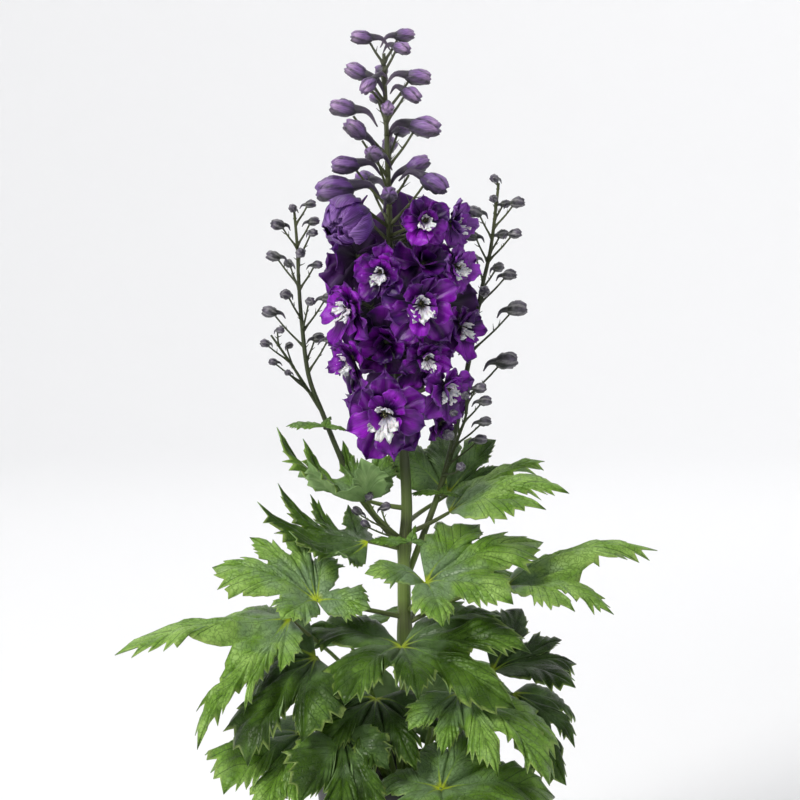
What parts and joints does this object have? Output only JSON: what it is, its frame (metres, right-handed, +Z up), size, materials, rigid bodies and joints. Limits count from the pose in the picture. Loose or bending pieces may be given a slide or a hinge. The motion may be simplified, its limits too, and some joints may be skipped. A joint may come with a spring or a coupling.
{
  "type": "potted delphinium plant",
  "caption": "Tall flowering garden plant with a violet double-flowered spike, thinner budded side spikes and toothed palmate leaves, in a round tapered pot.",
  "frame": {"origin": "centre of the pot's flat underside", "axes": "+Z up along the main stem, -Y towards the side on which the blooms and the front leaves face the viewer, +X to the viewer's right"},
  "size_m": [0.4012, 0.2834, 0.6865],
  "materials": {
    "stem": "satin",
    "leaf": "satin",
    "petal": "matte",
    "bee": "matte",
    "soil": "matte",
    "pot": "satin"
  },
  "bodies": {
    "root": {"bloom_back_high": "petal", "bloom_back_left": "petal", "bloom_back_low": "petal", "bloom_back_right": "petal", "bloom_bottom": "petal", "bloom_bottom_bee": "bee", "bloom_centre": "petal", "bloom_centre_bee": "bee", "bloom_front_left": "petal", "bloom_front_left_bee": "bee", "bloom_front_low": "petal", "bloom_front_low_bee": "bee", "bloom_front_top": "petal", "bloom_front_top_bee": "bee", "bloom_inner": "petal", "bloom_left_back": "petal", "bloom_left_low": "petal", "bloom_left_low_bee": "bee", "bloom_left_mid": "petal", "bloom_left_mid_bee": "bee", "bloom_low_side": "petal", "bloom_opening": "petal", "bloom_opening_bee": "bee", "bloom_right_high": "petal", "bloom_right_high_bee": "bee", "bloom_right_low": "petal", "bloom_right_low_bee": "bee", "bloom_right_mid": "petal", "bloom_right_mid_bee": "bee", "bloom_right_top": "petal", "bloom_right_top_bee": "bee", "bloom_upper_right": "petal", "leaf_back_high": "leaf", "leaf_back_left": "leaf", "leaf_back_low": "leaf", "leaf_back_right": "leaf", "leaf_centre": "leaf", "leaf_crown": "leaf", "leaf_front": "leaf", "leaf_front_left": "leaf", "leaf_inner_left": "leaf", "leaf_left_high": "leaf", "leaf_left_long": "leaf", "leaf_left_low": "leaf", "leaf_left_mid": "leaf", "leaf_right_dark": "leaf", "leaf_right_high": "leaf", "leaf_right_long": "leaf", "leaf_right_low": "leaf", "leaf_right_low_back": "leaf", "leaf_upper_back": "leaf", "leaf_upper_left": "leaf", "leaf_upper_left_low": "leaf", "leaf_upper_right": "leaf", "left_spike": "stem", "main_spike": "stem", "pot": "pot", "right_spike": "stem", "soil": "soil"}
  },
  "joints": []
}
